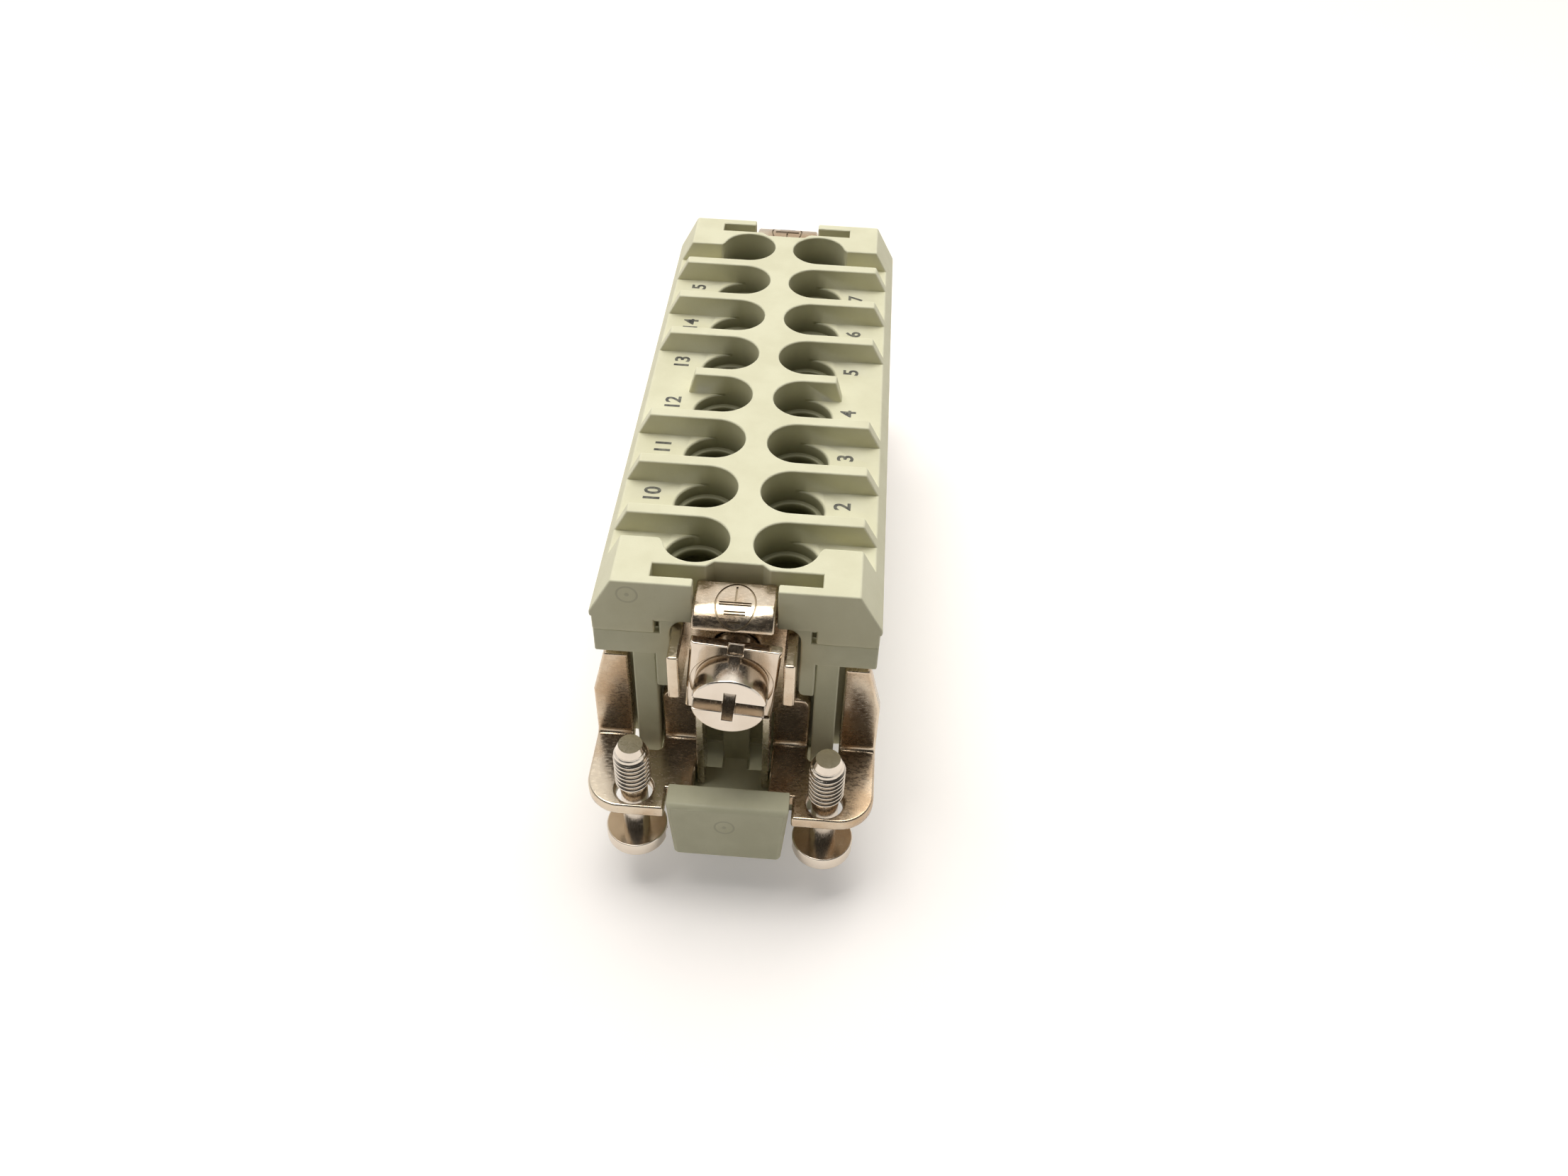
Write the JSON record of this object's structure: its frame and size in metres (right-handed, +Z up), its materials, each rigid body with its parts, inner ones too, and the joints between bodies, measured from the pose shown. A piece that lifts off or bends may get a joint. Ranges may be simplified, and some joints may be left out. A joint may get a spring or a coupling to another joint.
{
  "type": "connector insert",
  "caption": "Rectangular multi-pole screw-terminal connector insert with an earth terminal and captive fixing screws at both ends.",
  "frame": {"origin": "middle of the mating face, halfway between the two ends", "axes": "+Z up from the mating face to the wiring side, +Y along the length to the rear end, +X across"},
  "size_m": [0.0242, 0.0712, 0.03],
  "materials": {
    "cover_plastic": "pale grey-green moulding, matt",
    "body_plastic": "pale grey-green moulding, matt",
    "plated_sheet": "nickel-plated sheet with warm tarnish",
    "plated_screw": "nickel-plated screw",
    "contact_metal": "silver-plated brass"
  },
  "bodies": {
    "root": {"upper_cover": "cover_plastic", "lower_body": "body_plastic", "front_bracket": "plated_sheet", "front_clamp_plate": "plated_sheet", "front_earth_screw": "plated_screw", "front_earth_contact": "plated_sheet", "rear_bracket": "plated_sheet", "rear_clamp_plate": "plated_sheet", "rear_earth_screw": "plated_screw", "rear_earth_contact": "plated_sheet", "fixing_screw_1": "plated_screw", "fixing_screw_2": "plated_screw", "fixing_screw_3": "plated_screw", "fixing_screw_4": "plated_screw", "contact_01": "contact_metal", "clamp_screw_01": "plated_screw", "contact_02": "contact_metal", "clamp_screw_02": "plated_screw", "contact_03": "contact_metal", "clamp_screw_03": "plated_screw", "contact_04": "contact_metal", "clamp_screw_04": "plated_screw", "contact_05": "contact_metal", "clamp_screw_05": "plated_screw", "contact_06": "contact_metal", "clamp_screw_06": "plated_screw", "contact_07": "contact_metal", "clamp_screw_07": "plated_screw", "contact_08": "contact_metal", "clamp_screw_08": "plated_screw", "contact_09": "contact_metal", "clamp_screw_09": "plated_screw", "contact_10": "contact_metal", "clamp_screw_10": "plated_screw", "contact_11": "contact_metal", "clamp_screw_11": "plated_screw", "contact_12": "contact_metal", "clamp_screw_12": "plated_screw", "contact_13": "contact_metal", "clamp_screw_13": "plated_screw", "contact_14": "contact_metal", "clamp_screw_14": "plated_screw", "contact_15": "contact_metal", "clamp_screw_15": "plated_screw", "contact_16": "contact_metal", "clamp_screw_16": "plated_screw"}
  },
  "joints": []
}
